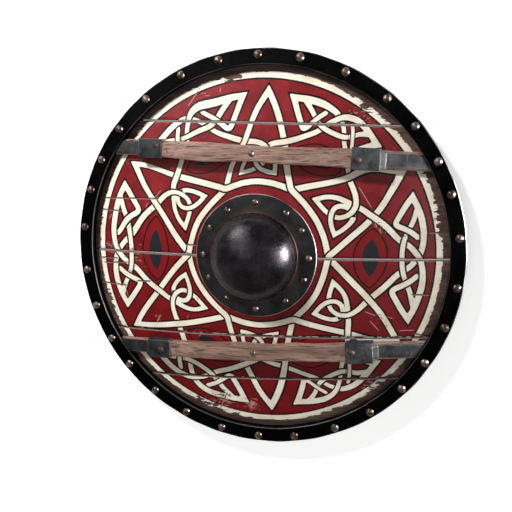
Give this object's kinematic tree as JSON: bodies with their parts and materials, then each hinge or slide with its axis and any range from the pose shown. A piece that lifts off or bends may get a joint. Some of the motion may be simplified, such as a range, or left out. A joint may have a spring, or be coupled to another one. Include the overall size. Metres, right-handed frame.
{
  "type": "round wooden shield",
  "caption": "Round plank shield with painted knotwork, riveted iron rim, domed boss and strapped battens, lying face up.",
  "frame": {"origin": "middle of the shield's round outline, at the height of the rim's underside, on which the shield lies", "axes": "+Z out of the face, the way the boss points; +X to the right along the battens; +Y towards the top of the face"},
  "size_m": [0.76, 0.76, 0.1225],
  "materials": {
    "painted_wood": "dark red paint with cream ribbon knotwork outlined in black, worn to bare wood at joints and edges",
    "bare_wood": "hewn weathered wood with dark grain and traces of old paint",
    "rim_iron": "blackened forged iron, edges worn bright",
    "boss_iron": "burnished dark gunmetal, brown at the neck",
    "strap_iron": "dark forged strap iron with worn edges",
    "rivet_steel": "hammered steel heads, dull with brown in the hollows"
  },
  "bodies": {
    "root": {"plank_top": "painted_wood", "plank_upper": "painted_wood", "plank_middle": "painted_wood", "plank_lower": "painted_wood", "plank_bottom": "painted_wood", "rim": "rim_iron", "boss": "boss_iron", "top_batten": "bare_wood", "bottom_batten": "bare_wood", "top_batten_rivet": "rivet_steel", "bottom_batten_rivet": "rivet_steel", "top_left_strap": "strap_iron", "top_right_strap": "strap_iron", "bottom_left_strap": "strap_iron", "bottom_right_strap": "strap_iron", "hand_grip": "bare_wood", "grip_top_rivet": "rivet_steel", "grip_bottom_rivet": "rivet_steel", "rim_rivet_01": "rivet_steel", "rim_rivet_02": "rivet_steel", "rim_rivet_03": "rivet_steel", "rim_rivet_04": "rivet_steel", "rim_rivet_05": "rivet_steel", "rim_rivet_06": "rivet_steel", "rim_rivet_07": "rivet_steel", "rim_rivet_08": "rivet_steel", "rim_rivet_09": "rivet_steel", "rim_rivet_10": "rivet_steel", "rim_rivet_11": "rivet_steel", "rim_rivet_12": "rivet_steel", "rim_rivet_13": "rivet_steel", "rim_rivet_14": "rivet_steel", "rim_rivet_15": "rivet_steel", "rim_rivet_16": "rivet_steel", "rim_rivet_17": "rivet_steel", "rim_rivet_18": "rivet_steel", "rim_rivet_19": "rivet_steel", "rim_rivet_20": "rivet_steel", "rim_rivet_21": "rivet_steel", "rim_rivet_22": "rivet_steel", "rim_rivet_23": "rivet_steel", "rim_rivet_24": "rivet_steel", "rim_rivet_25": "rivet_steel", "rim_rivet_26": "rivet_steel", "rim_rivet_27": "rivet_steel", "rim_rivet_28": "rivet_steel", "rim_rivet_29": "rivet_steel", "rim_rivet_30": "rivet_steel", "boss_rivet_01": "rivet_steel", "boss_rivet_02": "rivet_steel", "boss_rivet_03": "rivet_steel", "boss_rivet_04": "rivet_steel", "boss_rivet_05": "rivet_steel", "boss_rivet_06": "rivet_steel", "boss_rivet_07": "rivet_steel", "boss_rivet_08": "rivet_steel", "boss_rivet_09": "rivet_steel", "boss_rivet_10": "rivet_steel", "boss_rivet_11": "rivet_steel", "boss_rivet_12": "rivet_steel"}
  },
  "joints": []
}
